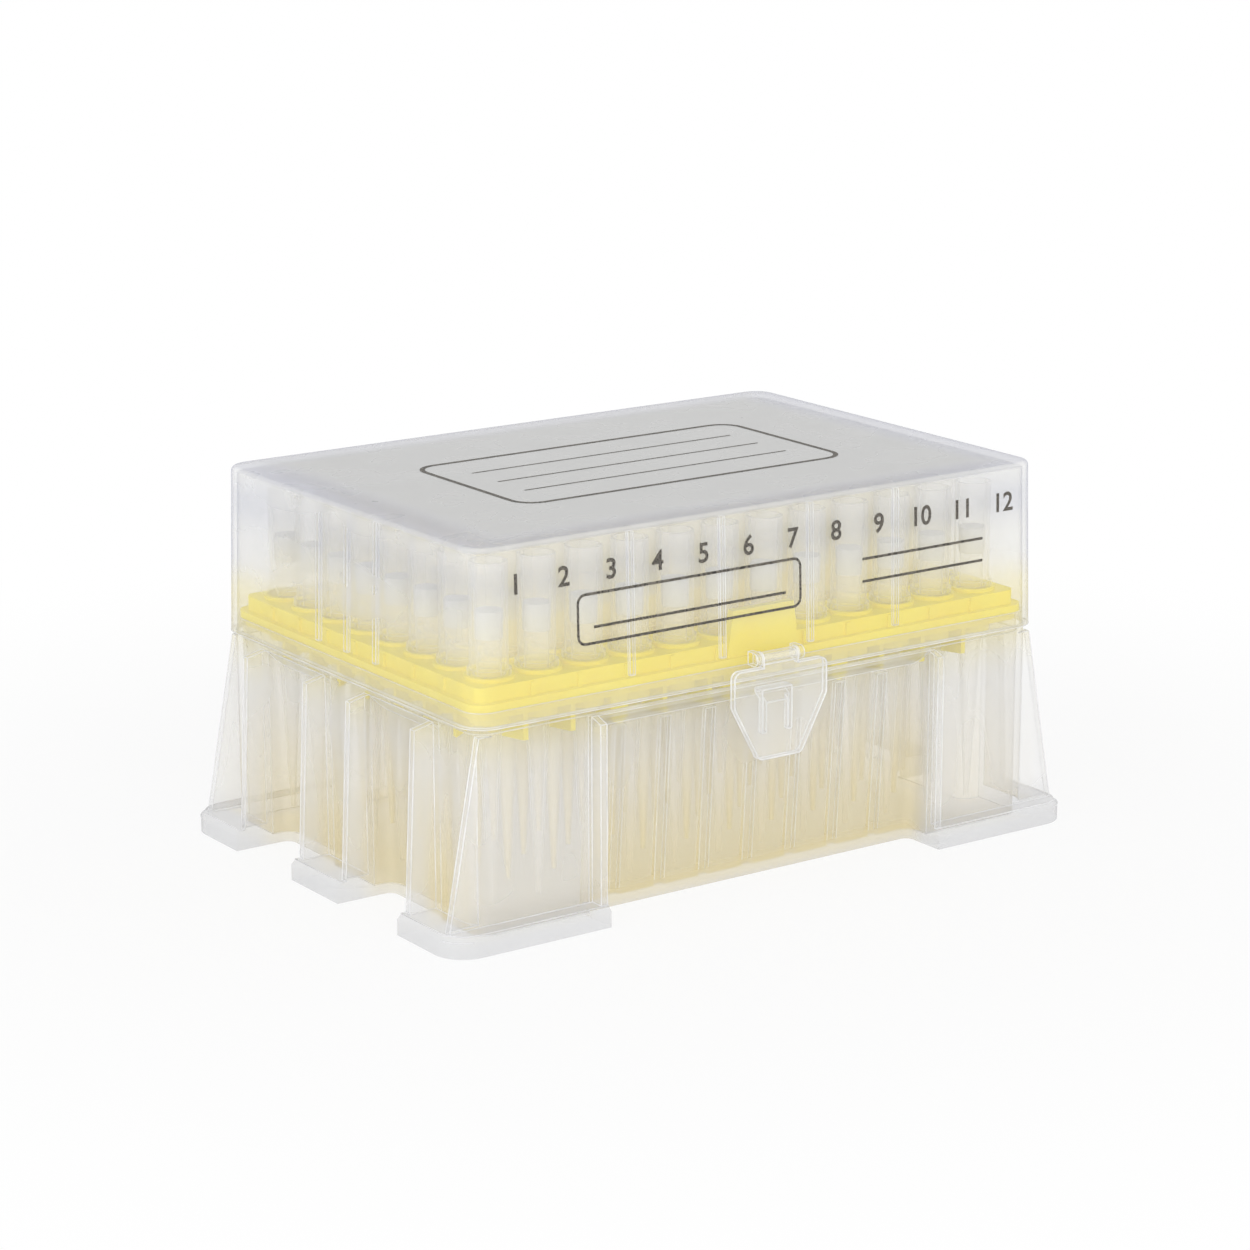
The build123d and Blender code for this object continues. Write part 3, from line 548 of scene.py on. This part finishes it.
def tube(name, chains, radius, material, body):
    """A curve piece that rides on a body: a thin round line along each list of points."""
    curve = bpy.data.curves.new(name, "CURVE")
    curve.dimensions = "3D"
    curve.bevel_depth = radius
    curve.bevel_resolution = 1
    for chain in chains:
        spline = curve.splines.new("POLY")
        spline.points.add(len(chain) - 1)
        for point, place in zip(spline.points, chain):
            point.co = (*place, 1)
    curve.materials.append(material)
    piece = bpy.data.objects.new(name, curve)
    piece.visible_shadow = False
    bpy.context.scene.collection.objects.link(piece)
    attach(piece, body)


def bright_edges(node, radius):
    """A painted highlight, a light line along every sharp edge of a clear moulding."""
    mesh = bmesh.new()
    mesh.from_mesh(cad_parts[node].data)
    bmesh.ops.remove_doubles(mesh, verts=mesh.verts, dist=0.001 * MM)
    chains = edge_chains(sharp_edges(mesh, *cad_bounds, 2 * radius))
    mesh.free()
    tube(f"{node}_edges", chains, radius, EDGE_HIGHLIGHT, BODY_OF[node])


bright_edges("base", 0.11 * MM)
bright_edges("lid", 0.10 * MM)
bright_edges("latch", 0.16 * MM)


# Printing

def meet(node, start, direction):
    """Where a straight line first meets a CAD node."""
    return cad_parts[node].ray_cast(Vector(start), Vector(direction))[1]


def on_front(x, z):
    """The point just off the lid's front wall at X and Z."""
    return meet("lid", (x, cad_bounds[0][1] - 10 * MM, z), (0, 1, 0)) - Vector((0, INK_LIFT, 0))


def on_roof(x, y):
    """The point just off the lid's roof at X and Y."""
    return meet("lid", (x, y, lid_high[2] + 10 * MM), (0, 0, -1)) + Vector((0, 0, INK_LIFT))


def printed_lines(name, place_on, lines, width, closed=False):
    """Flat ink along lists of points, which are in the two directions of a face of the lid."""
    mesh = bmesh.new()
    for line in lines:
        pairs = []
        for step, point in enumerate(line):
            before = line[step - 1] if step or closed else point
            after = line[(step + 1) % len(line)] if step + 1 < len(line) or closed else point
            side = (after - before).orthogonal().normalized() * width / 2
            pairs.append([mesh.verts.new(place_on(*place)) for place in (point + side, point - side)])
        for step in range(len(line) if closed else len(line) - 1):
            (first, second), (third, fourth) = pairs[step], pairs[(step + 1) % len(line)]
            mesh.faces.new((first, second, fourth, third))
    data = bpy.data.meshes.new(name)
    mesh.to_mesh(data)
    mesh.free()
    data.materials.append(PRINT)
    piece = bpy.data.objects.new(name, data)
    bpy.context.scene.collection.objects.link(piece)
    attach(piece, "lid")


def rounded_frame(centre, width, height, corner, steps=6):
    """Points round a rectangle with rounded corners."""
    points = []
    for quarter, (side, rise) in enumerate(((1, 1), (-1, 1), (-1, -1), (1, -1))):
        middle = Vector(centre) + Vector((side * (width / 2 - corner), rise * (height / 2 - corner)))
        for step in range(steps + 1):
            turn = (quarter + step / steps) * pi / 2
            points.append(middle + corner * Vector((cos(turn), sin(turn))))
    return points


def ruled_lines(centre, width, count, gap, steps=8):
    """Write-on lines, one under another, each with a point every few millimetres."""
    lines = []
    for row in range(count):
        level = centre[1] + gap * ((count - 1) / 2 - row)
        places = [centre[0] + width * (step / steps - 0.5) for step in range(steps + 1)]
        lines.append([Vector((place, level)) for place in places])
    return lines


def column_number(column, z, height):
    """A column's number, printed on the lid's front wall above its tips."""
    x = (first_low[0] + first_high[0]) / 2 + PITCH * (column - 1)
    text = bpy.data.curves.new(f"column_number_{column:02d}", "FONT")
    text.body = str(column)
    text.size = height / DIGIT_SHARE
    text.align_x = "CENTER"
    text.offset = DIGIT_WEIGHT
    text.materials.append(PRINT)
    label = bpy.data.objects.new(f"column_number_{column:02d}", text)
    foot, head = on_front(x, z), on_front(x, z + height)
    label.location = foot
    label.rotation_euler = (atan2(head.z - foot.z, head.y - foot.y), 0, 0)
    bpy.context.scene.collection.objects.link(label)
    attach(label, "lid")


INK_LIFT = 0.03 * MM
LINE = 0.45 * MM
DIGIT_SHARE = 0.7
DIGIT_WEIGHT = 0.08 * MM
NUMBER_HEIGHT = 3.2 * MM
NUMBER_LEVEL = 56.6 * MM
FIELD_X = -16.0 * MM
FIELD_LEVEL = 50.6 * MM
FIELD_FRAME = rounded_frame((FIELD_X, FIELD_LEVEL), 44.0 * MM, 8.0 * MM, 1.4 * MM)
FIELD_RULE = ruled_lines((FIELD_X, FIELD_LEVEL - 1.4 * MM), 38.0 * MM, 1, 0)
SIDE_RULES = ruled_lines((32.0 * MM, FIELD_LEVEL), 26.0 * MM, 2, 3.8 * MM)
ROOF_FRAME = rounded_frame((0, 0), 66.0 * MM, 34.0 * MM, 4.0 * MM)
ROOF_RULES = ruled_lines((0, 0), 54.0 * MM, 3, 8.0 * MM)
for column in range(1, COLUMNS + 1):
    column_number(column, NUMBER_LEVEL, NUMBER_HEIGHT)
printed_lines("front_panel", on_front, [FIELD_FRAME], LINE, closed=True)
printed_lines("front_panel_rule", on_front, FIELD_RULE, LINE)
printed_lines("front_rules", on_front, SIDE_RULES, LINE)
printed_lines("roof_panel", on_roof, [ROOF_FRAME], 2 * LINE, closed=True)
printed_lines("roof_rules", on_roof, ROOF_RULES, LINE)


# Studio: floor, light and camera

def seen_share(tree, x, y):
    """1 for camera, glossy and transmission rays, and 0 for the rays that carry light."""
    path = add_node(tree, "ShaderNodeLightPath", x, y)
    camera = path.outputs["Is Camera Ray"]
    through = path.outputs["Is Transmission Ray"]
    seen = math_node(tree, "MAXIMUM", camera, through, x + 200, y)
    return math_node(tree, "MAXIMUM", seen, path.outputs["Is Glossy Ray"], x + 350, y)


def white_floor():
    """A wide pale floor, white to the camera, that keeps the object's shadow near it."""
    mesh = bpy.data.meshes.new("floor")
    half = 6.0
    corners = [(-half, -half, 0), (half, -half, 0), (half, half, 0), (-half, half, 0)]
    mesh.from_pydata(corners, [], [(0, 1, 2, 3)])
    floor = bpy.data.objects.new("floor", mesh)
    bpy.context.scene.collection.objects.link(floor)
    material, tree, shader, output = new_material("Pale floor")
    grain = use_group(
        tree, MELT_CLOUD, -500, 200, Colour=(0.92, 0.92, 0.92, 1), Cloud_Colour=(0.9, 0.9, 0.9, 1),
        Size_mm=30.0, Stretch=1.0, Amount=0.3,
    )
    tree.links.new(grain.outputs["Colour"], shader.inputs["Base Color"])
    shader.inputs["Roughness"].default_value = 0.9
    shader.inputs["Specular IOR Level"].default_value = 0.1
    glow = add_node(tree, "ShaderNodeEmission", 200, 300, Strength=1.0)
    place = add_node(tree, "ShaderNodeTexCoord", -500, 700)
    length = add_node(tree, "ShaderNodeVectorMath", -300, 700, operation="LENGTH")
    tree.links.new(place.outputs["Object"], length.inputs[0])
    away = ramp_node(tree, length.outputs["Value"], low=0.08, high=0.22, start=0.86, end=1.0, x=-100, y=700)
    share = math_node(tree, "MULTIPLY", seen_share(tree, -100, 500), away, 450, 500)
    mix = add_node(tree, "ShaderNodeMixShader", 700, 0)
    tree.links.new(share, mix.inputs[0])
    tree.links.new(shader.outputs[0], mix.inputs[1])
    tree.links.new(glow.outputs[0], mix.inputs[2])
    tree.links.new(mix.outputs[0], output.inputs["Surface"])
    mesh.materials.append(material)


def white_world(strength):
    """Even white surroundings: full white where seen, and a lower level as light."""
    world = bpy.data.worlds.new("White surroundings")
    bpy.context.scene.world = world
    world.use_nodes = True
    tree = world.node_tree
    background = tree.nodes["Background"]
    background.inputs["Color"].default_value = (1, 1, 1, 1)
    extra = math_node(tree, "MULTIPLY", seen_share(tree, -900, 0), 1.0 - strength, -300, 0)
    level = math_node(tree, "ADD", extra, strength, -150, 0)
    tree.links.new(level, background.inputs["Strength"])


def soft_lamp(name, place, power, colour=(1, 1, 1)):
    """A square area lamp that points at the object."""
    data = bpy.data.lights.new(name, "AREA")
    data.shape = "SQUARE"
    data.size = LAMP_SIZE
    data.energy = power
    data.color = colour
    lamp = bpy.data.objects.new(name, data)
    lamp.location = place
    lamp.rotation_euler = (LAMP_TARGET - Vector(place)).to_track_quat("-Z", "Y").to_euler()
    bpy.context.scene.collection.objects.link(lamp)


def main_camera():
    """The camera, in front of the latch and to its left, a little above."""
    data = bpy.data.cameras.new("camera")
    data.sensor_width = 36.0
    data.lens = 104.08
    data.shift_x = -0.0198
    data.shift_y = -0.0163
    camera = bpy.data.objects.new("camera", data)
    camera.location = (-0.34644, -0.49197, 0.19416)
    camera.rotation_euler = (radians(75.567), 0, radians(-35.457))
    bpy.context.scene.collection.objects.link(camera)
    bpy.context.scene.camera = camera


LAMP_SIZE = 0.7
LAMP_TARGET = Vector((0, 0, 0.03))
white_floor()
white_world(0.62)
soft_lamp("key", (-0.25, -1.0, 0.5), power=4.2)
soft_lamp("side", (-1.0, -0.1, 0.35), power=3.1, colour=(0.94, 0.96, 1.0))
soft_lamp("right", (0.9, -0.6, 0.4), power=0.9)
main_camera()

scene = bpy.context.scene
scene.view_settings.view_transform = "Standard"
scene.cycles.transparent_max_bounces = 48
scene.cycles.max_bounces = 3
